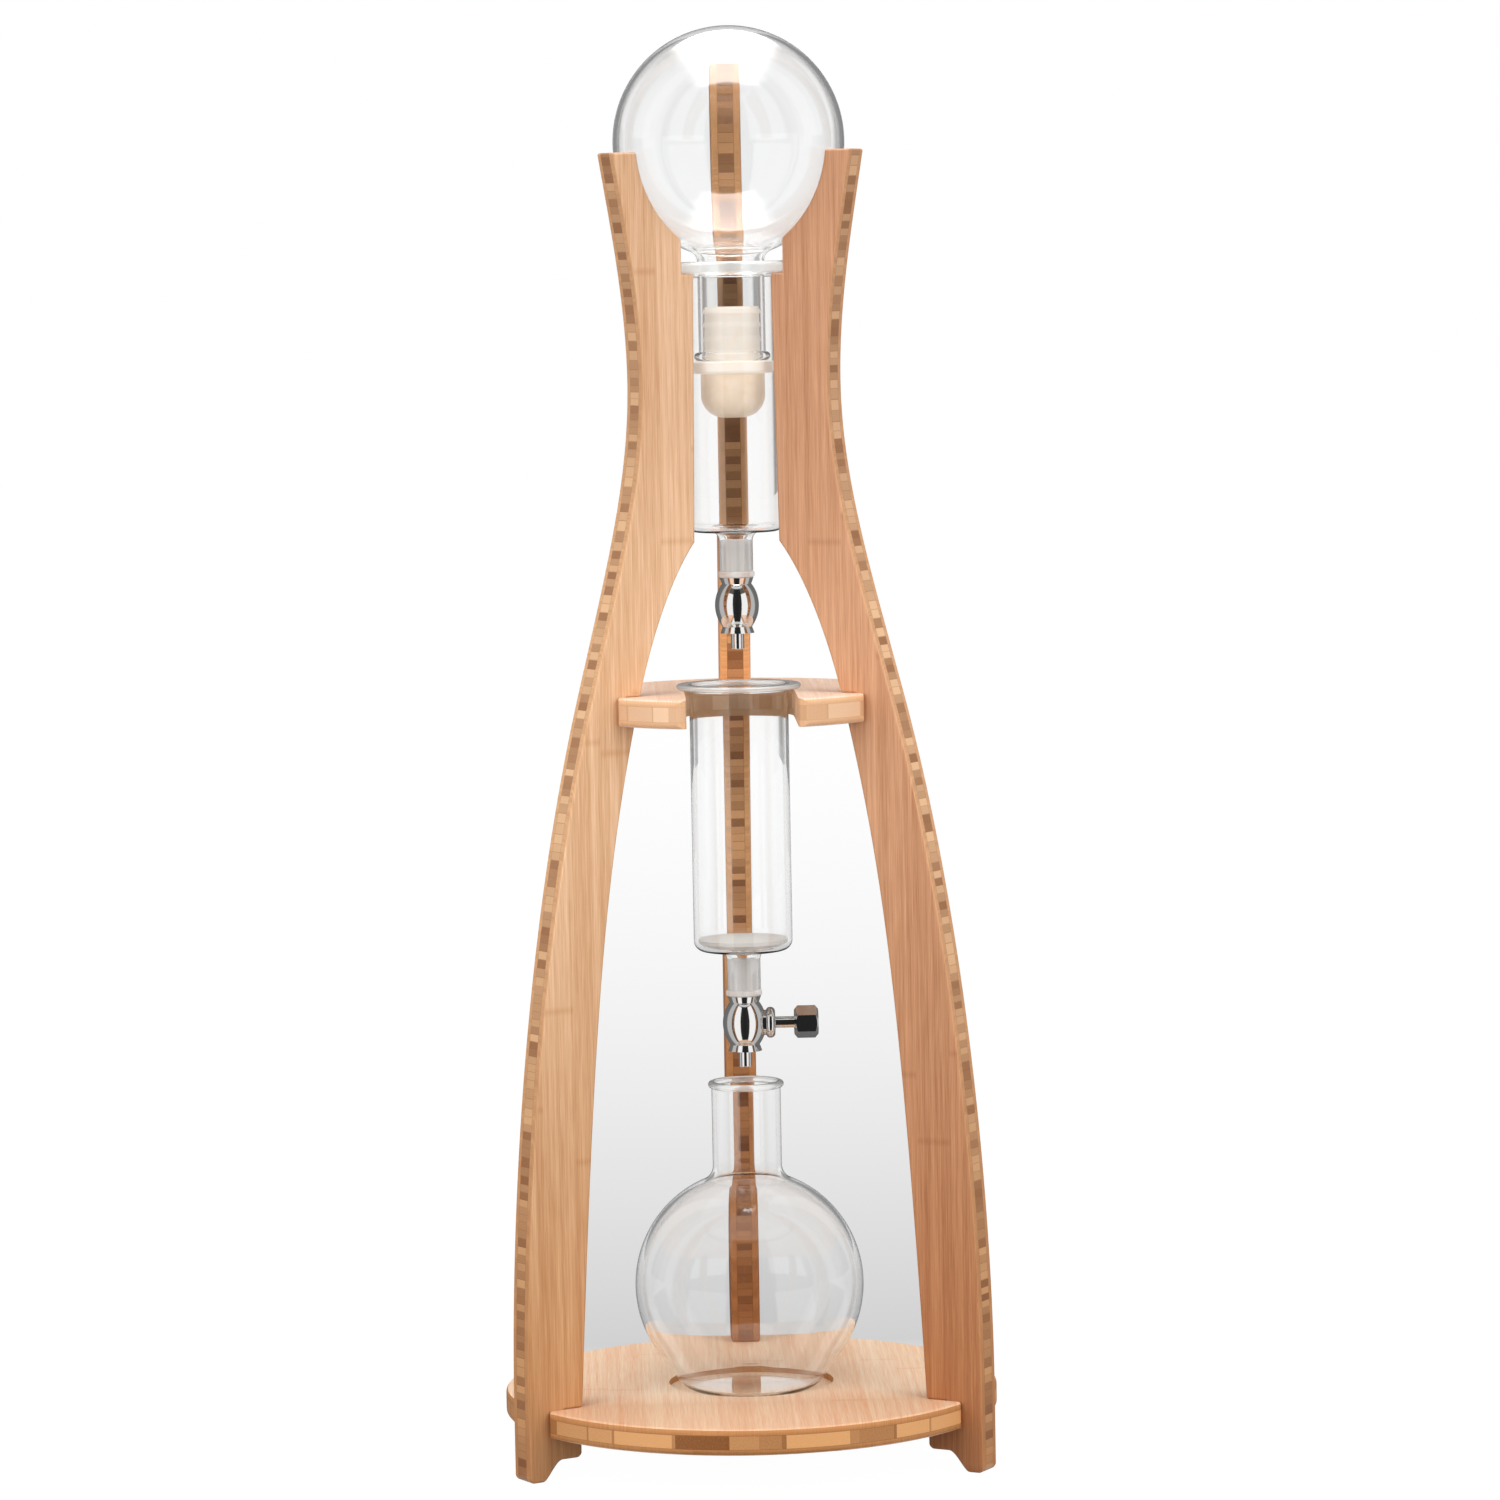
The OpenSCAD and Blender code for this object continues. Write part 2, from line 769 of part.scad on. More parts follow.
// needle and spindle in one piece, closed against the flow bore
module needle() {
  start = seat_end + needle_gap;
  shoulder = needle_shoulder + needle_gap;
  groove = 2*ring_section + 2*joint_gap;
  color(steel)
    rotate([0, 90, 0])
      difference() {
        union() {
          translate([0, 0, start])
            cylinder(r1 = needle_point_r, r2 = needle_r, h = needle_point);
          translate([0, 0, start + needle_point])
            cylinder(r = needle_r, h = needle_shoulder);
          translate([0, 0, shoulder])
            cylinder(r = spindle_r, h = knob_start + knob_sunk - shoulder - needle_gap);
        }
        translate([0, 0, ring_x - groove/2])
          difference() {
            cylinder(r = spindle_r + cut, h = groove);
            translate([0, 0, -cut])
              cylinder(r = groove_r, h = groove + 2*cut);
          }
      }
}

// hexagonal knob, chamfered at both ends
module knob() {
  corner_r = knob_w/sqrt(3);
  flat_r = knob_w/2;
  color(steel)
    translate([knob_start, 0, 0])
      rotate([0, 90, 0])
        difference() {
          intersection() {
            cylinder(r = corner_r, h = knob_l, $fn = 6);
            union() {
              cylinder(r1 = flat_r - knob_chamfer/2, r2 = corner_r + knob_proud, h = knob_chamfer);
              translate([0, 0, knob_chamfer])
                cylinder(r = corner_r + knob_proud, h = knob_l - 2*knob_chamfer);
              translate([0, 0, knob_l - knob_chamfer])
                cylinder(r1 = corner_r + knob_proud, r2 = flat_r - knob_chamfer/2, h = knob_chamfer);
            }
          }
          translate([0, 0, -cut])
            cylinder(r = spindle_r + joint_gap, h = knob_sunk + cut);
        }
}

module at_upper_tap() {
  translate([0, 0, upper_stem_end - sleeve_flange_t - rest_gap - tap_top])
    rotate([0, 0, upper_knob_angle])
      children();
}

module at_lower_tap() {
  translate([0, 0, lower_stem_end - sleeve_flange_t - rest_gap - tap_top])
    rotate([0, 0, lower_knob_angle])
      children();
}

module upper_tap_body() { at_upper_tap() tap_body(); }
module upper_drip_tip() { at_upper_tap() drip_tip(); }
module upper_gland() { at_upper_tap() gland(); }
module upper_o_ring() { at_upper_tap() o_ring(); }
module upper_needle() { at_upper_tap() needle(); }
module upper_knob() { at_upper_tap() knob(); }
module lower_tap_body() { at_lower_tap() tap_body(); }
module lower_drip_tip() { at_lower_tap() drip_tip(); }
module lower_gland() { at_lower_tap() gland(); }
module lower_o_ring() { at_lower_tap() o_ring(); }
module lower_needle() { at_lower_tap() needle(); }
module lower_knob() { at_lower_tap() knob(); }

// ---------------------------------------------------------------- flask

flask_blend = 9;
flask_side = 35;     // degrees below the equator where the sphere turns into the base
base_pull = 14;      // pulls of the base's curve at its two ends
flat_pull = 7;
overlap = 6;         // how far the base reaches up into the sphere's wall
overlap_in = 0.8;

// outer or inner shape with the body's centre as origin; `inset` is the wall
module flask_shape(inset) {
  body_r = flask_r - inset;
  low = body_r*[cos(flask_side), -sin(flask_side)];
  above = low.y + overlap;
  flat = [flask_flat_r, -flask_rise + inset];
  difference() {
    mirror([0, 0, 1])
      bulb(body_r, flask_neck_r - inset, -(flask_h - flask_rise) - (inset > 0 ? cut : 0),
           flask_blend + inset);
    translate([0, 0, low.y - 2*flask_r])
      cylinder(r = 2*flask_r, h = 2*flask_r);
  }
  rotate_extrude()
    polygon(concat(
      [[0, above], [sqrt(pow(body_r, 2) - pow(above, 2)) - overlap_in, above]],
      curve(low, low - base_pull*[sin(flask_side), cos(flask_side)], flat + [flat_pull, 0], flat, 8),
      [[0, flat.y]]));
}

module flask() {
  color(clear_glass)
    translate([0, 0, flask_bottom + flask_rise])
      difference() {
        union() {
          flask_shape(0);
          translate([0, 0, flask_h - flask_rise - flask_bead])
            rotate_extrude()
              translate([flask_neck_r, 0])
                circle(flask_bead);
        }
        flask_shape(flask_wall);
      }
}

base_disc();
leg_front_left();
leg_front_right();
leg_rear();
ring_plate();
base_screws();
globe();
stopper_plug();
stopper_cup();
upper_chamber();
upper_sleeve();
upper_tap_body();
upper_drip_tip();
upper_gland();
upper_o_ring();
upper_needle();
upper_knob();
coffee_chamber();
coffee_filter();
lower_sleeve();
lower_tap_body();
lower_drip_tip();
lower_gland();
lower_o_ring();
lower_needle();
lower_knob();
flask();
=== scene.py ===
"""Cold drip coffee tower, dressed: ply boards and legs, clear glass, silicone and polished taps.

Shapes and the ply's grain are in millimetres of the CAD frame, and MM turns them into metres. The
camera, the other textures and the studio round the tower are in metres.
"""

import math

import bmesh
import bpy
from mathutils import Matrix, Vector


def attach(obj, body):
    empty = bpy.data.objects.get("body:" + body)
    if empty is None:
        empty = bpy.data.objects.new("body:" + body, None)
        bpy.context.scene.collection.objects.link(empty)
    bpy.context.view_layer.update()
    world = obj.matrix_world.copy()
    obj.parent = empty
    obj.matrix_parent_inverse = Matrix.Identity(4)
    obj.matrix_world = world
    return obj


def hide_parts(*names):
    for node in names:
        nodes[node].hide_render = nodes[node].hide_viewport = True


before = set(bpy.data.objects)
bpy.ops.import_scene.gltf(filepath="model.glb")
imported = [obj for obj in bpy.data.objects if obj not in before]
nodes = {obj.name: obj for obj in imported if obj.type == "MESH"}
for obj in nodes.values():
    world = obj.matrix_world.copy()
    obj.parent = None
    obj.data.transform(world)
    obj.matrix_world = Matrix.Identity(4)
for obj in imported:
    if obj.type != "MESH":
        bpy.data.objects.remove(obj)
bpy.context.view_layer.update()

MM = 0.001

# sizes that several pieces share, as in the part's source
BASE_BOTTOM, BASE_TOP, BASE_R = 25.0, 40.0, 141.0
RING_BOTTOM, RING_TOP = 423.2, 439.2
LEG_HALF = 9.0
SEAT_Z, LEG_TOP, REAR_RISE = 675.2, 743.78, 54
GLOBE_Z, FLASK_Z = 749.28, 96.7
BULB_R, BULB_WALL = 65.5, 2.2
ARC_R = 65.8


# ---------------------------------------------------------------- camera

def place_camera():
    """Camera solved from the rims of the boards, the legs' edges and the glass in the photograph."""
    pitch, yaw, roll = 0.08657, 0.02736, -0.01841
    place = (-0.0858, -3.3506, 0.69506)
    forward = Vector((math.sin(yaw) * math.cos(pitch), math.cos(yaw) * math.cos(pitch), -math.sin(pitch)))
    right = Vector((math.cos(yaw), -math.sin(yaw), 0))
    up = right.cross(forward)
    x_axis = math.cos(roll) * right + math.sin(roll) * up
    y_axis = -math.sin(roll) * right + math.cos(roll) * up
    camera = bpy.data.objects.new("camera", bpy.data.cameras.new("camera"))
    bpy.context.scene.collection.objects.link(camera)
    camera.data.sensor_width = 36
    camera.data.lens = 141.6
    camera.data.clip_end = 100
    rows = [(x_axis[i], y_axis[i], -forward[i], place[i]) for i in range(3)]
    camera.matrix_world = Matrix(rows + [(0, 0, 0, 1)])
    bpy.context.scene.camera = camera


place_camera()


# ---------------------------------------------------------------- node helpers

class Tree:
    """Short calls for building a node tree; a value may be a number, a colour or another node's output."""

    def __init__(self, tree):
        self.tree = tree

    def node(self, kind, **settings):
        """New node with its settings."""
        made = self.tree.nodes.new(kind)
        for name, value in settings.items():
            setattr(made, name, value)
        return made

    def put(self, socket, value):
        """Link an output to the socket, or set the socket to a fixed value."""
        if isinstance(value, bpy.types.NodeSocket):
            self.tree.links.new(value, socket)
        else:
            socket.default_value = value

    def math(self, operation, *values, clamp=False):
        """One sum; clamp keeps its result from 0 to 1."""
        made = self.node("ShaderNodeMath", operation=operation, use_clamp=clamp)
        for socket, value in zip(made.inputs, values):
            self.put(socket, value)
        return made.outputs[0]

    def mix(self, factor, a, b, blend="MIX"):
        """Colour a turned into colour b by the factor."""
        made = self.node("ShaderNodeMix", data_type="RGBA", blend_type=blend)
        self.put(made.inputs["Factor"], factor)
        for socket, value in zip([s for s in made.inputs if s.type == "RGBA"], (a, b)):
            if not isinstance(value, bpy.types.NodeSocket):
                value = (*value, 1)
            self.put(socket, value)
        return [s for s in made.outputs if s.type == "RGBA"][0]

    def ramp(self, value, stops, smooth=False):
        """Colour read off (place, colour) stops, where a bare number is a grey."""
        made = self.node("ShaderNodeValToRGB")
        made.color_ramp.interpolation = "EASE" if smooth else "LINEAR"
        elements = made.color_ramp.elements
        while len(elements) < len(stops):
            elements.new(0.5)
        for element, (place, colour) in zip(elements, stops):
            element.position = place
            element.color = (*colour, 1) if isinstance(colour, tuple) else (colour, colour, colour, 1)
        self.put(made.inputs[0], value)
        return made.outputs[0]

    def total(self, *terms):
        """Sum of (value, offset, weight) terms, each weight*(value - offset)."""
        made = None
        for value, offset, weight in terms:
            part = self.math("MULTIPLY", self.math("SUBTRACT", value, offset), weight)
            made = part if made is None else self.math("ADD", made, part)
        return made

    def fade(self, distance, start, rate):
        """Exponential fall from start with distance."""
        return self.math("MULTIPLY", self.math("EXPONENT", self.math("MULTIPLY", distance, -rate)), start)

    def near(self, value, place, reach):
        """1 where the value lies within reach of the place."""
        return self.math("LESS_THAN", self.math("ABSOLUTE", self.math("SUBTRACT", value, place)), reach)

    def vector(self, x, y, z):
        """Vector of three values."""
        made = self.node("ShaderNodeCombineXYZ")
        for socket, value in zip(made.inputs, (x, y, z)):
            self.put(socket, value)
        return made.outputs[0]

    def split(self, vector):
        """The three values of a vector."""
        made = self.node("ShaderNodeSeparateXYZ")
        self.put(made.inputs[0], vector)
        return made.outputs

    def noise(self, vector, scale, detail=2.0, rough=0.5):
        """Soft noise, mostly between 0.3 and 0.7."""
        made = self.node("ShaderNodeTexNoise")
        self.put(made.inputs["Vector"], vector)
        made.inputs["Scale"].default_value = scale
        made.inputs["Detail"].default_value = detail
        made.inputs["Roughness"].default_value = rough
        return made.outputs[0]

    def stretched(self, a, per_a, b, per_b, seed, detail, rough=0.5):
        """Noise over two axes in millimetres, with per_a and per_b waves to the millimetre."""
        place = self.vector(self.math("MULTIPLY", a, per_a), self.math("MULTIPLY", b, per_b), seed)
        return self.noise(place, 1.0, detail, rough)

    def white(self, vector):
        """A value between 0 and 1 that is different at each place."""
        made = self.node("ShaderNodeTexWhiteNoise", noise_dimensions="3D")
        self.put(made.inputs["Vector"], vector)
        return made.outputs["Value"]

    def glow(self, colour, strength):
        """Shader that gives light."""
        made = self.node("ShaderNodeEmission")
        self.put(made.inputs["Color"], colour)
        self.put(made.inputs["Strength"], strength)
        return made.outputs[0]

    def blend(self, factor, first, second):
        """The first shader turned into the second one by the factor."""
        made = self.node("ShaderNodeMixShader")
        for socket, value in zip(made.inputs, (factor, first, second)):
            self.put(socket, value)
        return made.outputs[0]

    def surface(self, shader):
        """Make the shader the material's surface."""
        self.put(self.tree.nodes["Material Output"].inputs["Surface"], shader)


def material(name):
    """New material with its tree and its principled shader."""
    made = bpy.data.materials.new(name)
    made.use_nodes = True
    return made, Tree(made.node_tree), made.node_tree.nodes["Principled BSDF"]


def linear(shown):
    """Linear light of an 8-bit display value."""
    return (shown / 255 / 12.92) if shown <= 10 else ((shown / 255 + 0.055) / 1.055) ** 2.4


def srgb(red, green, blue):
    """Linear colour of an 8-bit display colour."""
    return tuple(linear(shown) for shown in (red, green, blue))


# ---------------------------------------------------------------- bamboo ply

def ply_face(t, along, across, seed, face, dark):
    """Broad face: strips side by side, each with its own tone, fine fibres and faint nodes.

    Gives its colour and the fibres, which the edges, the roughness and the bumps use too.
    """
    strip_width, strip_shift, middle_tone = 21.0, 7.0, 0.45
    node_every, node_scatter, node_sharpness = 236.0, 190.0, 80.0
    strip = t.math("FLOOR", t.math("DIVIDE", t.math("ADD", across, strip_shift + seed), strip_width))
    tone = t.white(t.vector(strip, seed, 3.0))
    fibres = t.stretched(across, 2.2, along, 0.03, seed, detail=4.0, rough=0.6)
    streaks = t.stretched(across, 0.4, along, 0.004, seed, detail=3.0)
    scattered = t.math("ADD", along, t.math("MULTIPLY", tone, node_scatter))
    phase = t.math("FRACT", t.math("DIVIDE", scattered, node_every))
    off_node = t.math("MULTIPLY", t.math("ABSOLUTE", t.math("SUBTRACT", phase, 0.5)), node_sharpness)
    knot = t.math("SUBTRACT", 1.0, off_node, clamp=True)
    shade = t.total((fibres, 0.5, 2.1), (streaks, 0.5, 1.6), (tone, 0.5, 0.4), (knot, 0.0, 0.3))
    return t.mix(t.math("ADD", middle_tone, shade, clamp=True), face, dark), fibres


def ply_edge(t, run, depth, fibres, board, seed, skin, core):
    """Edge: two fine-grained outer plies and a core of blocks end to end, with dark joints and seams."""
    first, last = board["plies"]
    wobble_per_mm, wobble_reach = 0.02, 4.0
    joint_share, joint_dark, seam_half, seam_dark = 0.08, 0.5, 0.2, 0.45
    wobble = t.noise(t.vector(t.math("MULTIPLY", run, wobble_per_mm), seed, 0.0), 1.0, 1.0)
    cell = t.math("ADD", t.math("DIVIDE", run, board["block"]), t.math("MULTIPLY", wobble, wobble_reach))
    lot = t.white(t.vector(t.math("FLOOR", cell), seed, 7.0))
    ends = t.stretched(run, 1.3, depth, 1.1, seed, detail=3.0, rough=0.6)
    blocks = t.mix(t.total((lot, 0.0, 1.0), (ends, 0.5, 0.5)), core[0], core[1])
    joint = t.math("LESS_THAN", t.math("FRACT", cell), joint_share)
    blocks = t.mix(t.math("MULTIPLY", joint, joint_dark), blocks, core[0])
    top_seam = board["thickness"] - last
    outer = t.math("MAXIMUM", t.math("LESS_THAN", depth, first), t.math("GREATER_THAN", depth, top_seam))
    outer_colour = t.mix(t.total((fibres, 0.3, 1.0)), skin, core[0])
    seam = t.math("MAXIMUM", t.near(depth, first, seam_half), t.near(depth, top_seam, seam_half))
    return t.mix(t.math("MULTIPLY", seam, seam_dark), t.mix(outer, blocks, outer_colour), core[0])


def ply(name, board, seed, face, dark, skin, core, foot=None, front=None):
    """Three-layer bamboo ply: grained faces, and edges that show the layers.

    board says along which axis the grain runs and through which axis the plies lie, where they start,
    how thick they are and how long the core's blocks are, which on a round board follow its rim. face
    and dark colour the broad faces, skin the edges of the outer plies, and core the dark and the light
    blocks between them. foot darkens a leg with painted shade at the floor and at a tenth and a third
    of the height where the shading ends, and the leg turns darker again towards its arm; front darkens
    the front of a board's faces with painted shade.
    """
    run_radius, shade_top, edge_cosine = 120.0, 600.0, 0.72
    rough, rough_grain = 0.42, 0.16
    made, t, shader = material(name)
    coords = t.node("ShaderNodeTexCoord")
    place = t.node("ShaderNodeVectorMath", operation="SCALE")
    t.put(place.inputs[0], coords.outputs["Object"])
    place.inputs["Scale"].default_value = 1 / MM
    axes = dict(zip("XYZ", t.split(place.outputs[0])))
    normals = dict(zip("XYZ", t.split(coords.outputs["Normal"])))
    grain, through = board["grain"], board["through"]
    along = axes[grain]
    across = axes[({"X", "Y", "Z"} - {grain, through}).pop()]

    face_colour, fibres = ply_face(t, along, across, seed, face, dark)
    if front is not None:
        # Painted shade: the front part of the board's faces is darkened by front's colour.
        from_front = t.math("DIVIDE", t.math("ADD", along, BASE_R), BASE_R)
        tint = t.ramp(from_front, [(0.54, front), (0.77, 1.0)])
        face_colour = t.mix(1.0, face_colour, tint, blend="MULTIPLY")
    run = along
    if through == "Z":
        run = t.math("MULTIPLY", t.math("ARCTAN2", axes["X"], axes["Y"]), run_radius)
    depth = t.math("SUBTRACT", axes[through], board["low"])
    edge_colour = ply_edge(t, run, depth, fibres, board, seed, skin, core)
    on_edge = t.math("LESS_THAN", t.math("ABSOLUTE", normals[through]), edge_cosine)
    colour = t.mix(on_edge, face_colour, edge_colour)
    if foot is not None:
        # Painted shade: the leg's colour is darkened towards the floor by foot's three colours, and turns
        # darker again towards the arm.
        arm = (0.86, 0.82, 0.8)
        shade_stops = [(0.0, foot[0]), (0.1, foot[1]), (0.33, foot[2]), (0.62, 1.0), (0.8, 1.0), (1.0, arm)]
        leg_shade = t.ramp(t.math("DIVIDE", along, shade_top), shade_stops)
        colour = t.mix(1.0, colour, leg_shade, blend="MULTIPLY")

    t.put(shader.inputs["Base Color"], colour)
    t.put(shader.inputs["Roughness"], t.math("ADD", rough, t.math("MULTIPLY", fibres, rough_grain)))
    shader.inputs["Specular IOR Level"].default_value = 0.35
    bump = t.node("ShaderNodeBump")
    bump.inputs["Strength"].default_value = 0.12
    bump.inputs["Distance"].default_value = 0.0004
    t.put(bump.inputs["Height"], fibres)
    t.put(shader.inputs["Normal"], bump.outputs[0])
    return made


LEG_BOARD = {"grain": "Z", "through": "Y", "low": -LEG_HALF, "thickness": 2 * LEG_HALF, "plies": (4.3, 4.5),
             "block": 4.6}
DISC_BOARD = {"grain": "Y", "through": "Z", "low": BASE_BOTTOM, "thickness": BASE_TOP - BASE_BOTTOM,
              "plies": (3.6, 3.6), "block": 28.0}
RING_BOARD = {"grain": "Y", "through": "Z", "low": RING_BOTTOM, "thickness": RING_TOP - RING_BOTTOM,
              "plies": (3.8, 3.8), "block": 28.0}
# Painted shade for the legs' feet: the front legs' feet are darkened a little, the rear leg's, which stands
# in shade, more.
FRONT_FOOT_SHADE = ((0.64, 0.49, 0.35), (0.74, 0.6, 0.44), (0.84, 0.76, 0.67))
REAR_FOOT_SHADE = ((0.42, 0.3, 0.2), (0.46, 0.33, 0.23), (0.56, 0.44, 0.34))

left_ply = ply("left_ply", LEG_BOARD, 1.0, face=srgb(241, 203, 166), dark=srgb(206, 156, 112),
               skin=srgb(228, 178, 132), core=(srgb(160, 112, 76), srgb(234, 190, 146)), foot=FRONT_FOOT_SHADE)
right_ply = ply("right_ply", LEG_BOARD, 5.0, face=srgb(219, 166, 127), dark=srgb(180, 124, 86),
                skin=srgb(222, 170, 126), core=(srgb(156, 108, 72), srgb(232, 188, 146)), foot=FRONT_FOOT_SHADE)
# The rear leg's core is partly its wood's colour and partly painted shade: its dark blocks are darker, as it
# stands in shade behind the others.
rear_ply = ply("rear_ply", LEG_BOARD, 9.0, face=srgb(220, 166, 128), dark=srgb(176, 120, 84),
               skin=srgb(252, 192, 132), core=(srgb(146, 96, 58), srgb(240, 184, 130)), foot=REAR_FOOT_SHADE)
# The disc's front colour is painted shade on the front part of its faces.
disc_ply = ply("disc_ply", DISC_BOARD, 13.0, face=srgb(254, 228, 198), dark=srgb(240, 186, 146),
               skin=srgb(194, 134, 80), core=(srgb(134, 80, 36), srgb(224, 165, 108)),
               front=(0.8, 0.71, 0.64))
ring_ply = ply("ring_ply", RING_BOARD, 19.0, face=srgb(250, 224, 206), dark=srgb(236, 194, 162),
               skin=srgb(228, 180, 138), core=(srgb(204, 152, 110), srgb(244, 206, 170)))


# ---------------------------------------------------------------- other materials

def clear_glass(name, tint, clear=1.0):
    """Glass with a faintly wavering tint; with clear under 1 it is milky, like a fire-polished rim."""
    lighter = 1.01
    made, t, shader = material(name)
    waver = t.noise(t.node("ShaderNodeTexCoord").outputs["Object"], scale=30.0, detail=1.0)
    t.put(shader.inputs["Base Color"], t.mix(waver, tint, tuple(min(1.0, c * lighter) for c in tint)))
    shader.inputs["Roughness"].default_value = 0.0
    shader.inputs["IOR"].default_value = 1.47
    shader.inputs["Transmission Weight"].default_value = clear
    return made


def silicone(name, colour, dull, see_through, painted_glow, streaks=1.0):
    """Milky silicone: a share see_through of the light passes straight through, the rest scatters.

    painted_glow makes its face glow with painted light, standing in for the light that would scatter
    through it from the bright room behind, and streaks above 1 draws the cloudiness out along the axis.
    """
    translucent, cloud_low, cloud_gain = 0.12, 0.3, 2.5
    made, t, shader = material(name)
    x, y, z = t.split(t.node("ShaderNodeTexCoord").outputs["Object"])
    cloud = t.noise(t.vector(x, y, t.math("DIVIDE", z, streaks)), scale=200.0)
    cloudiness = t.math("MULTIPLY", t.math("SUBTRACT", cloud, cloud_low), cloud_gain)
    t.put(shader.inputs["Base Color"], t.mix(cloudiness, colour, dull))
    shader.inputs["Roughness"].default_value = 0.35
    shader.inputs["IOR"].default_value = 1.41
    # Painted glow: the silicone gives light of its own colour, though it is no lamp.
    shader.inputs["Emission Color"].default_value = (*colour, 1)
    shader.inputs["Emission Strength"].default_value = painted_glow
    scattering = t.node("ShaderNodeBsdfTranslucent")
    t.put(scattering.inputs["Color"], (*colour, 1))
    milky = t.blend(translucent, shader.outputs[0], scattering.outputs[0])
    t.surface(t.blend(see_through, milky, t.node("ShaderNodeBsdfTransparent").outputs[0]))
    return made


def metal(name, colour, rough, grain):
    """Bare metal with fine darker marks, which add up to grain to its roughness."""
    marked = 0.94
    made, t, shader = material(name)
    marks = t.noise(t.node("ShaderNodeTexCoord").outputs["Object"], scale=900.0)
    t.put(shader.inputs["Base Color"], t.mix(marks, colour, tuple(c * marked for c in colour)))
    t.put(shader.inputs["Roughness"], t.math("ADD", rough, t.math("MULTIPLY", marks, grain)))
    shader.inputs["Metallic"].default_value = 1.0
    return made


def plain(name, colour, rough, scale, spread):
    """Dull material whose colour is mottled down to spread times its brightness."""
    made, t, shader = material(name)
    grain = t.noise(t.node("ShaderNodeTexCoord").outputs["Object"], scale, detail=3.0)
    t.put(shader.inputs["Base Color"], t.mix(grain, colour, tuple(c * spread for c in colour)))
    shader.inputs["Roughness"].default_value = rough
    return made


glass = clear_glass("clear_glass", (0.99, 0.995, 0.992))
globe_glass = clear_glass("globe_glass", (0.965, 0.968, 0.967))
rim_glass = clear_glass("rim_glass", (0.975, 0.99, 0.978), clear=0.6)
plug_silicone = silicone("plug_silicone", srgb(255, 250, 243), srgb(254, 243, 230), see_through=0.1, painted_glow=0.24)
cup_silicone = silicone("cup_silicone", srgb(255, 244, 230), srgb(250, 230, 204), see_through=0.32, painted_glow=0.12)
sleeve_silicone = silicone("sleeve_silicone", srgb(254, 251, 248), srgb(222, 214, 208), see_through=0.48,
                           painted_glow=0.1, streaks=12.0)
polished = metal("polished_steel", (0.78, 0.775, 0.765), rough=0.05, grain=0.05)
screw_steel = metal("screw_steel", (0.6, 0.6, 0.6), rough=0.25, grain=0.1)
ceramic = plain("ceramic", srgb(252, 247, 240), rough=0.8, scale=1500.0, spread=0.95)
seal = plain("seal", (0.02, 0.02, 0.02), rough=0.5, scale=200.0, spread=0.8)


# ---------------------------------------------------------------- mesh helpers

def add_piece(name, mesh, look, node):
    """Piece of the scene that takes a CAD node's place."""
    mesh.materials.append(look)
    piece = bpy.data.objects.new(name, mesh)
    bpy.context.scene.collection.objects.link(piece)
    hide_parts(node)
    return piece


def lathe(name, loop, steps=96):
    """Mesh of revolution of a closed loop of (radius, height), smooth but for edges past the limit."""
    limit = math.radians(35)
    on_axis = 1e-6
    mesh = bpy.data.meshes.new(name)
    shape = bmesh.new()
    turns = [2 * math.pi * i / steps for i in range(steps)]
    rings = []
    for radius, height in loop:
        if radius < on_axis:
            rings.append([shape.verts.new((0, 0, height * MM))] * steps)
            continue
        spoke = radius * MM
        rings.append([shape.verts.new((spoke * math.cos(turn), spoke * math.sin(turn), height * MM))
                      for turn in turns])
    for a, b in zip(rings, rings[1:] + rings[:1]):
        for i in range(steps):
            j = (i + 1) % steps
            corners = list(dict.fromkeys((a[i], a[j], b[j], b[i])))
            if len(corners) > 2:
                shape.faces.new(corners)
    bmesh.ops.recalc_face_normals(shape, faces=shape.faces)
    for face in shape.faces:
        face.smooth = True
    for edge in shape.edges:
        edge.smooth = not edge.is_manifold or edge.calc_face_angle(0.0) < limit
    shape.to_mesh(mesh)
    shape.free()
    return mesh


def arc(cx, cz, radius, start, end, steps):
    """Points on a circle from start to end degrees."""
    turns = [math.radians(start + (end - start) * i / steps) for i in range(steps + 1)]
    return [(cx + radius * math.cos(turn), cz + radius * math.sin(turn)) for turn in turns]


def curve(p0, p1, p2, p3, steps):
    """Points along a cubic curve."""
    made = []
    for i in range(steps + 1):
        t = i / steps
        s = 1 - t
        made.append(tuple(s * s * s * a + 3 * s * s * t * b + 3 * s * t * t * c + t * t * t * d
                          for a, b, c, d in zip(p0, p1, p2, p3)))
    return made


# ---------------------------------------------------------------- legs

SHIN = RING_TOP - BASE_TOP
HIP_OUT, HIP_IN = (101.3, RING_TOP), (70.0, RING_TOP)
KNEE_Z = 524.5
WAIST = (64.7, KNEE_Z + 0.6 * (SEAT_Z - KNEE_Z))
ARM = (ARC_R + 15.5, LEG_TOP)


def leg_outer():
    """Outer edge of a leg, from its foot over the hip and the waist up to the arm."""
    foot_r, toe_r, toe_z, lean = 152, 150, 2, 0.285
    thigh, upper = WAIST[1] - RING_TOP, LEG_TOP - WAIST[1]
    edge = [(toe_r, 0), (foot_r, toe_z)]
    edge += curve((foot_r, BASE_TOP), (foot_r, BASE_TOP + 0.3 * SHIN),
                  (HIP_OUT[0] + 0.313 * SHIN * lean, RING_TOP - 0.313 * SHIN), HIP_OUT, 40)
    edge += curve(HIP_OUT, (HIP_OUT[0] - 0.4 * thigh * lean, RING_TOP + 0.4 * thigh),
                  (WAIST[0], WAIST[1] - 0.313 * thigh), WAIST, 26)[1:]
    edge += curve(WAIST, (WAIST[0], WAIST[1] + 0.35 * upper),
                  (ARM[0] - 0.0558 * upper, ARM[1] - 0.31 * upper), ARM, 18)[1:]
    return edge


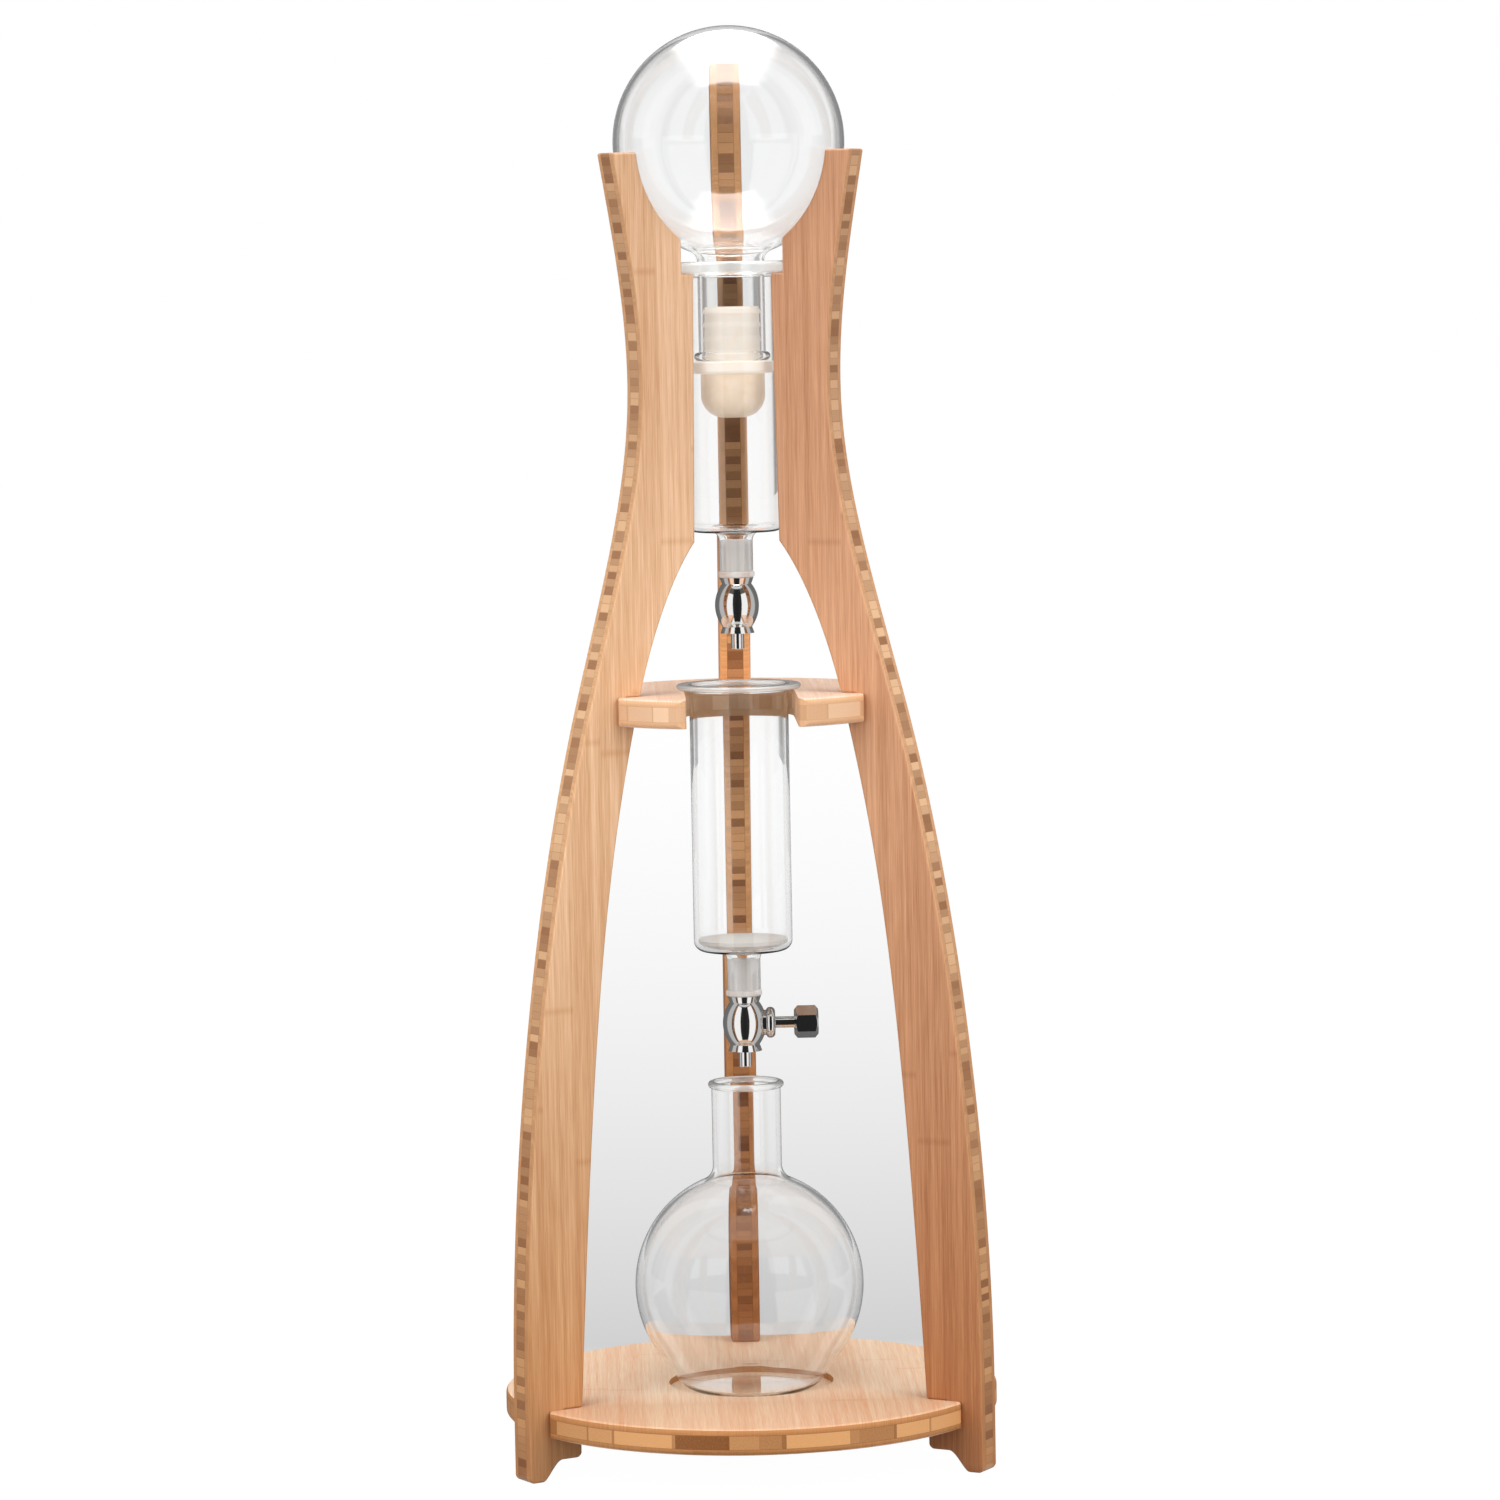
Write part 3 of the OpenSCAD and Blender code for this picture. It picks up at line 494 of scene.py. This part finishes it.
def leg_head(top):
    """Top of a leg: the arc the globe stands in and the chamber's ledge; the rear one has a tip besides."""
    tip_r, chamfer, corner = ARC_R + 23, 1.2, 4
    seat_wall, ledge_r = 37.5, 29.8
    rise = top - LEG_TOP
    last = -math.degrees(math.acos(seat_wall / ARC_R))
    if rise > 1:
        edge = curve(ARM, (ARM[0] + 0.072 * rise, ARM[1] + 0.4 * rise), (tip_r, top - 0.4 * rise),
                     (tip_r, top - corner), 8)[1:]
        edge += [(tip_r - chamfer, top - chamfer), (tip_r - corner, top), (ARC_R, top)]
        edge += arc(0, GLOBE_Z, ARC_R, 0, last, 26)
    else:
        first = -math.degrees(math.asin((GLOBE_Z - LEG_TOP) / ARC_R))
        edge = arc(0, GLOBE_Z, ARC_R, first, last, 26)
    return edge + [(seat_wall, SEAT_Z), (ledge_r, SEAT_Z)]


def leg_inner():
    """Inner edge of a leg, from the knee down to the base board, with the notch for the ring plate."""
    knee_r, shin_r, lap = 32.3, 117, 78.85
    drop = KNEE_Z - RING_TOP
    above = curve((knee_r, KNEE_Z), (knee_r + 0.264 * drop, KNEE_Z - 0.33 * drop),
                  (HIP_IN[0] - 0.03 * drop, RING_TOP + 0.12 * drop), HIP_IN, 22)
    below = curve(HIP_IN, (HIP_IN[0] + 0.05575 * SHIN, RING_TOP - 0.223 * SHIN),
                  (shin_r - 0.03416 * SHIN, BASE_TOP + 0.61 * SHIN), (shin_r, BASE_TOP), 44)
    start = next(a for a, b in zip(below, below[1:]) if b[1] < RING_BOTTOM <= a[1])
    notch = [(lap, RING_TOP), (lap, RING_BOTTOM), (start[0] + 0.25 * (start[1] - RING_BOTTOM), RING_BOTTOM)]
    return above + notch + [p for p in below if p[1] < RING_BOTTOM - 1]


def leg_foot():
    """Foot of a leg: the notch for the base board, the bracket under it and the slope to the floor."""
    lap, bracket_r, bracket_z, chamfer = 129.1, 118, 11.5, 2
    edge = [(lap, BASE_TOP), (lap, BASE_BOTTOM), (bracket_r, BASE_BOTTOM)]
    edge += [(bracket_r, bracket_z + chamfer), (bracket_r + chamfer, bracket_z)]
    return edge + curve((130.5, bracket_z), (134.5, bracket_z), (138.5, 2.9), (142.5, 0), 10)


def make_leg(name, node, top, azimuth, made_of):
    """Leg cut from the outline as (radius, height), the same curves as the CAD leg but drawn finer."""
    shape = bmesh.new()
    outline = leg_outer() + leg_head(top) + leg_inner() + leg_foot()
    front = [shape.verts.new((r * MM, -LEG_HALF * MM, z * MM)) for r, z in outline]
    back = [shape.verts.new((r * MM, LEG_HALF * MM, z * MM)) for r, z in outline]
    shape.faces.new(front)
    shape.faces.new(back[::-1])
    count = len(outline)
    for i in range(count):
        j = (i + 1) % count
        shape.faces.new((front[i], back[i], back[j], front[j]))
    bmesh.ops.recalc_face_normals(shape, faces=shape.faces)
    mesh = bpy.data.meshes.new(name)
    shape.to_mesh(mesh)
    shape.free()
    for face in mesh.polygons:
        face.use_smooth = True
    piece = add_piece(name, mesh, made_of, node)
    piece.rotation_euler = (0, 0, math.radians(azimuth))
    bevel = piece.modifiers.new("round", "BEVEL")
    bevel.width = 1.6 * MM
    bevel.segments = 3
    bevel.limit_method = "ANGLE"
    bevel.angle_limit = math.radians(40)
    bevel.harden_normals = True
    bpy.context.view_layer.update()
    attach(piece, "stand")


make_leg("leg_left", "leg_front_left", LEG_TOP, 210, left_ply)
make_leg("leg_right", "leg_front_right", LEG_TOP, 330, right_ply)
make_leg("leg_back", "leg_rear", LEG_TOP + REAR_RISE, 90, rear_ply)


# ---------------------------------------------------------------- glass

def add_glass(name, node, body, loop, look=glass, rim=None):
    """Glass lets the light through to what it holds, so it casts no shadow; above rim it is milky."""
    piece = add_piece(name, lathe(name, loop, 192), look, node)
    if rim is not None:
        piece.data.materials.append(rim_glass)
        for face in piece.data.polygons:
            face.material_index = int(face.center.z > rim * MM)
    piece.visible_shadow = False
    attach(piece, body)


def bulb_side(radius, neck_r, blend, steps):
    """Sphere from its far pole round to the blend and onto the neck, about the body's centre; neck down."""
    cx = neck_r + blend
    cz = -math.sqrt((radius + blend) ** 2 - cx ** 2)
    touch = math.degrees(math.atan2(cz, cx))
    return arc(0, 0, radius, 90, touch, steps) + arc(cx, cz, blend, touch + 180, 180, 12)[1:]


def globe_loop():
    """Globe on its head: outer wall down to the beaded lip, and the inner wall back up."""
    neck_r, blend, lip, bead_r, ease = 19, 6, -123.0, 2.6, 0.4
    bore_r = neck_r - BULB_WALL
    outer = bulb_side(BULB_R, neck_r, blend, 90)
    inner = bulb_side(BULB_R - BULB_WALL, bore_r, blend + BULB_WALL, 90)
    bead = arc(neck_r, lip + bead_r, bead_r, 90, -90, 12)
    loop = outer + bead + [(bore_r + ease, lip), (bore_r, lip + ease)] + inner[::-1]
    return [(max(r, 0.0), z + GLOBE_Z) for r, z in loop]


def chamber_loop(rim_z, rim_t):
    """Glass chamber with a wide rim and an outlet stem, from its rim down; both chambers share it."""
    wall, height, rim_r, body_r = 2.3, 153.0, 35.6, 28.2
    stem, stem_r, stem_end = 22.5, 9.6, 0.5
    throat, corner, root, ease = 1.2, 6, 5, 1.0
    lip = min(rim_t / 2 - 0.1, 2.0)
    loop = [(body_r - wall, -ease), (body_r - wall + ease, 0.0)]
    loop += arc(rim_r - lip, -lip, lip, 90, 0, 8) + arc(rim_r - lip, -rim_t + lip, lip, 0, -90, 8)
    loop += arc(body_r + throat, -rim_t - throat, throat, 90, 180, 6)
    loop += arc(body_r - corner, -height + corner, corner, 0, -90, 12)
    loop += arc(stem_r + root, -height - root, root, 90, 180, 12)
    loop += arc(stem_r - stem_end, -height - stem + stem_end, stem_end, 0, -90, 4)
    loop += arc(stem_r - wall + stem_end, -height - stem + stem_end, stem_end, -90, -180, 4)
    loop += arc(stem_r + root, -height - root, root + wall, 180, 90, 12)
    loop += arc(body_r - corner, -height + corner, corner - wall, -90, 0, 12)
    return [(r, z + rim_z) for r, z in loop]


FLASK_NECK_R = 19.8


def flask_side(inset, steps):
    """Flask from its lip down to the middle of its flat bottom, about the body's centre."""
    blend, side, lean = 9 + inset, 35, 14
    radius, neck_r = BULB_R - inset, FLASK_NECK_R - inset
    sine, cosine = math.sin(math.radians(side)), math.cos(math.radians(side))
    above = [(r, -z) for r, z in bulb_side(radius, neck_r, blend, steps) if z <= 0][::-1]
    low = (radius * cosine, -radius * sine)
    flat = (33.0, -60 + inset)
    below = arc(0, 0, radius, 0, -side, 24)[1:]
    below += curve(low, (low[0] - lean * sine, low[1] - lean * cosine), (flat[0] + 7, flat[1]), flat, 20)[1:]
    return above + below + [(20.0, flat[1]), (0.0, flat[1])]


def flask_loop():
    """Flask: round its beaded lip, down the outer wall to the middle and back up the inner wall."""
    top, bead_r, ease = 117.5, 1.9, 0.6
    bore_r = FLASK_NECK_R - BULB_WALL
    bead = arc(FLASK_NECK_R, top - bead_r, bead_r, 90, -90, 12)
    loop = [(bore_r, top - ease), (bore_r + ease, top)] + bead
    loop += flask_side(0, 90) + flask_side(BULB_WALL, 90)[::-1]
    return [(r, z + FLASK_Z) for r, z in loop]


add_glass("globe_glass", "globe", "globe", globe_loop(), globe_glass)
add_glass("drip_chamber_glass", "upper_chamber", "drip_chamber", chamber_loop(682.0, 6.8), rim=675.0)
add_glass("coffee_chamber_glass", "coffee_chamber", "coffee_chamber", chamber_loop(442.4, 3.0), rim=439.3)
add_glass("flask_glass", "flask", "flask", flask_loop(), rim=210.4)


# ---------------------------------------------------------------- sleeves, wet against the stems' bores

def sleeve_loop(stem_end):
    """Silicone sleeve with a flange under the stem, its outside tight against the stem's bore."""
    bore_r, stem_bore_r, reach = 4.05, 7.35, 18.5
    flange_r, flange_t, rounding, ease = 10.4, 3.4, 1.0, 0.5
    loop = [(bore_r, reach), (bore_r, -flange_t)]
    loop += arc(flange_r - rounding, rounding - flange_t, rounding, -90, 0, 5)
    loop += arc(flange_r - rounding, -rounding, rounding, 0, 90, 5)
    loop += [(stem_bore_r, 0.0), (stem_bore_r, reach - ease), (stem_bore_r - ease, reach)]
    return [(r, z + stem_end) for r, z in loop]


SLEEVES = (("upper_sleeve", "drip_chamber", 506.5), ("lower_sleeve", "coffee_chamber", 266.9))
for name, body, stem_end in SLEEVES:
    mesh = lathe(name + "_wet", sleeve_loop(stem_end))
    sleeve = add_piece(name + "_wet", mesh, sleeve_silicone, name)
    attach(sleeve, body)


# ---------------------------------------------------------------- CAD nodes that show as they are

LOOKS = {
    "base_disc": disc_ply, "ring_plate": ring_ply, "base_screws": screw_steel,
    "stopper_plug": plug_silicone, "stopper_cup": cup_silicone, "coffee_filter": ceramic,
    "upper_o_ring": seal, "lower_o_ring": seal,
}
for name, node in nodes.items():
    look = LOOKS.get(name, polished)
    if not node.material_slots:
        node.data.materials.append(look)
    for held in node.material_slots:
        held.material = look


# ---------------------------------------------------------------- floor, background and lights

CARD_GLOW = 1.15
ANY = 0.5  # a light path's depth above this means at least one such bounce


def panel(name, corners, look, hidden_from=()):
    """Flat four-cornered part of the studio, hidden from the kinds of rays given."""
    mesh = bpy.data.meshes.new(name)
    mesh.from_pydata(corners, [], [(0, 1, 2, 3)])
    mesh.materials.append(look)
    made = bpy.data.objects.new(name, mesh)
    bpy.context.scene.collection.objects.link(made)
    for kind in hidden_from:
        setattr(made, "visible_" + kind, False)
    return made


def studio_ring(t, x, y, cards):
    """Greys that reflections see round the tower, from straight ahead of it (0) to straight behind it (1).

    The front is dark, with the cards' own brightness at their angles, and the walls are grey.
    """
    turn = t.math("ARCTAN2", x, t.math("MULTIPLY", y, -1.0))
    side = t.math("DIVIDE", t.math("ABSOLUTE", turn), math.pi)
    return t.ramp(side, [(0.0, 0.02), (0.125, 0.03), (0.14, cards), (0.355, cards), (0.37, 0.04),
                         (0.4, 0.04), (0.42, 0.6), (0.58, 0.6), (0.62, 0.2), (1.0, 0.15)])


def painted_shade_strip(t, x, y, grey, fall):
    """Painted shade past the tower: a grey strip on the floor between the legs that widens and fades with
    distance.
    """
    begin, ease_in, soft = 0.13, 0.2, 0.02
    centre_here, centre_per_m, half_here, half_per_m = 0.0085, 0.0232, 0.1225, 0.0118
    start = t.math("DIVIDE", t.math("SUBTRACT", y, begin), ease_in, clamp=True)
    behind = t.math("MULTIPLY", start, t.fade(y, grey, fall))
    centre = t.math("ADD", centre_here, t.math("MULTIPLY", y, centre_per_m))
    half = t.math("ADD", half_here, t.math("MULTIPLY", y, half_per_m))
    off = t.math("ABSOLUTE", t.math("SUBTRACT", x, centre))
    inside = t.math("ADD", 0.5, t.math("DIVIDE", t.math("SUBTRACT", half, off), soft), clamp=True)
    return t.math("MULTIPLY", behind, inside)


def floor_look():
    """Floor that looks white, with a grey strip of painted shade behind the tower, and lights the tower like
    a pale table.

    Through the glass the grey lies all round, so that the rims of the glass turn grey, and what is
    mirrored in the glass sees the dark front. Reflections see the cards mirrored in the floor.
    """
    grey, fall, brightness, shown = 0.5, 0.717, 1.095, 0.9
    made, t, shader = material("floor")
    shader.inputs["Base Color"].default_value = (0.35, 0.35, 0.35, 1)
    shader.inputs["Roughness"].default_value = 0.9
    x, y, _ = t.split(t.node("ShaderNodeTexCoord").outputs["Object"])
    squares = (t.math("MULTIPLY", x, x), 0.0, 1.0), (t.math("MULTIPLY", y, y), 0.0, 1.0)
    strip = painted_shade_strip(t, x, y, grey, fall)
    around = t.fade(t.math("SQRT", t.total(*squares)), grey, fall)
    mirrored = studio_ring(t, x, y, CARD_GLOW)

    path = t.node("ShaderNodeLightPath").outputs
    sharp = t.math("LESS_THAN", path["Diffuse Depth"], ANY)
    through = t.math("MULTIPLY", path["Is Transmission Ray"], sharp)
    # Painted shade: the camera sees the floor darkened by the grey strip behind the tower.
    past = t.math("MULTIPLY", strip, t.math("SUBTRACT", 1.0, through))
    level = t.math("SUBTRACT", 1.0, t.math("ADD", past, t.math("MULTIPLY", around, through)))
    bounced = t.math("GREATER_THAN", path["Glossy Depth"], ANY)
    in_front = t.math("LESS_THAN", y, 0.0)
    dark = t.math("MULTIPLY", t.math("MULTIPLY", through, bounced), in_front)
    seen = t.glow(t.mix(dark, t.vector(level, level, level), mirrored), brightness)
    share = t.math("MULTIPLY", t.math("MAXIMUM", path["Is Camera Ray"], through), shown)
    looked_at = t.blend(share, shader.outputs[0], seen)
    reflected = t.math("MULTIPLY", path["Is Glossy Ray"], t.math("SUBTRACT", sharp, through))
    t.surface(t.blend(reflected, looked_at, t.glow(mirrored, 1.0)))
    return made


def make_floor():
    """Floor that reaches well past everything the camera sees."""
    reach = 14.0
    corners = [(-reach, -reach, 0), (reach, -reach, 0), (reach, reach, 0), (-reach, reach, 0)]
    floor = panel("floor", corners, floor_look())


def make_world():
    """Room round the tower: white when looked at, pale or grey for light and for reflections.

    Through the glass it is white panels with grey gaps between them, which draw the rims of the glass,
    and what is mirrored in the glass sees the dark front. Rays that have left a dull surface see a
    plain room, through glass or not.
    """
    panels, gap, front_limit, beside = 8.0, 0.36, -0.2, 0.12
    lamplight, overhead, dull_room = (0.6, 0.6, 0.6), (0.8, 0.8, 0.8), (0.62, 0.62, 0.62)
    world = bpy.data.worlds.new("studio")
    bpy.context.scene.world = world
    world.use_nodes = True
    t = Tree(world.node_tree)
    x, y, z = t.split(t.node("ShaderNodeTexCoord").outputs["Generated"])
    path = t.node("ShaderNodeLightPath").outputs
    wave = t.math("COSINE", t.math("MULTIPLY", t.math("ARCTAN2", x, y), panels))
    gaps = t.ramp(wave, [(0.0, gap), (0.4, 1.0)], smooth=True)
    above = t.ramp(z, [(0.79, 0.0), (0.83, 1.0)], smooth=True)
    walls = t.mix(above, studio_ring(t, x, y, beside), overhead)
    light = t.mix(path["Is Glossy Ray"], lamplight, walls)
    bounced = t.math("GREATER_THAN", path["Glossy Depth"], ANY)
    gaps = t.mix(t.math("MULTIPLY", bounced, t.math("LESS_THAN", y, front_limit)), gaps, walls)
    light = t.mix(path["Is Transmission Ray"], light, gaps)
    light = t.mix(path["Is Camera Ray"], light, (1.0, 1.0, 1.0))
    light = t.mix(t.math("GREATER_THAN", path["Diffuse Depth"], ANY), light, dull_room)
    t.put(world.node_tree.nodes["Background"].inputs["Color"], light)


def make_card(name, turn):
    """White card beside the tower, turn degrees from its front, that only reflections see."""
    reach, half, low, height = 0.42, 0.162, 0.002, 0.79
    side, ahead = math.sin(math.radians(turn)), -math.cos(math.radians(turn))
    foot = Vector((reach * side, reach * ahead, low))
    across = Vector((-ahead * half, side * half, 0))
    up = Vector((0, 0, height))
    made, t, _ = material(name)
    t.surface(t.glow((1, 1, 1, 1), CARD_GLOW))
    corners = [foot - across, foot + across, foot + across + up, foot - across + up]
    card = panel(name, corners, made, hidden_from=("camera", "diffuse", "transmission", "shadow"))


def make_hood():
    """Lit panel over the globe, which shows as a soft glow in the globe's top and low in its rear wall.

    Its light fades towards its sides and its front edge, and ends at reach, so that only the globe sees it.
    """
    height, half, front, back = 1.25, 0.4, -0.36, 0.9
    full_to, gone_at, edge_start, edge_width, reach, brightness = 0.09, 0.33, -0.336, 0.03, 0.78, 7.5
    made, t, _ = material("hood")
    x, y, _ = t.split(t.node("ShaderNodeTexCoord").outputs["Object"])
    across = t.ramp(t.math("ABSOLUTE", x), [(full_to, 1.0), (gone_at, 0.0)], smooth=True)
    edge = t.math("DIVIDE", t.math("SUBTRACT", y, edge_start), edge_width, clamp=True)
    reached = t.math("LESS_THAN", t.node("ShaderNodeLightPath").outputs["Ray Length"], reach)
    level = t.math("MULTIPLY", t.math("MULTIPLY", across, edge), reached)
    clear = t.node("ShaderNodeBsdfTransparent").outputs[0]
    t.surface(t.blend(level, clear, t.glow((1, 1, 1, 1), brightness)))
    corners = [(-half, front, height), (half, front, height), (half, back, height), (-half, back, height)]
    hood = panel("hood", corners, made, hidden_from=("camera", "diffuse", "shadow"))


def softbox(name, place, target, width, height, power):
    """Lamp whose light fades towards its edges; the camera, the glass and reflections don't see it."""
    light = bpy.data.lights.new(name, "AREA")
    light.shape = "RECTANGLE"
    light.size, light.size_y = width, height
    light.energy = power
    light.use_nodes = True
    t = Tree(light.node_tree)
    across, up, _ = t.split(t.node("ShaderNodeNewGeometry").outputs["Parametric"])
    falls = []
    for along, margin in ((across, 0.1), (up, 0.2)):
        inset = t.math("SUBTRACT", 0.5, t.math("ABSOLUTE", t.math("SUBTRACT", along, 0.5)))
        falls.append(t.math("SMOOTH_MIN", t.math("DIVIDE", inset, margin), 1.0, 0.5))
    t.put(light.node_tree.nodes["Emission"].inputs["Strength"], t.math("MULTIPLY", *falls))
    lamp = bpy.data.objects.new(name, light)
    bpy.context.scene.collection.objects.link(lamp)
    lamp.location = place
    lamp.rotation_euler = (Vector(target) - Vector(place)).to_track_quat("-Z", "Y").to_euler()
    lamp.visible_camera = False
    lamp.visible_transmission = False
    lamp.visible_glossy = False


make_floor()
make_world()
make_card("left_card", -45)
make_card("right_card", 45)
make_hood()
softbox("left_box", (-1.6, -1.5, 1.3), (0, 0, 1.3), 1.7, 2.55, 43)
softbox("right_box", (1.6, -1.5, 1.3), (0, 0, 1.3), 1.7, 2.55, 43)
softbox("top_box", (0, -0.2, 2.8), (0, -0.2, 0), 1.2, 1.4, 36)

for held in bpy.context.scene.view_layers:
    held.update()
bpy.context.scene.view_settings.view_transform = "Standard"
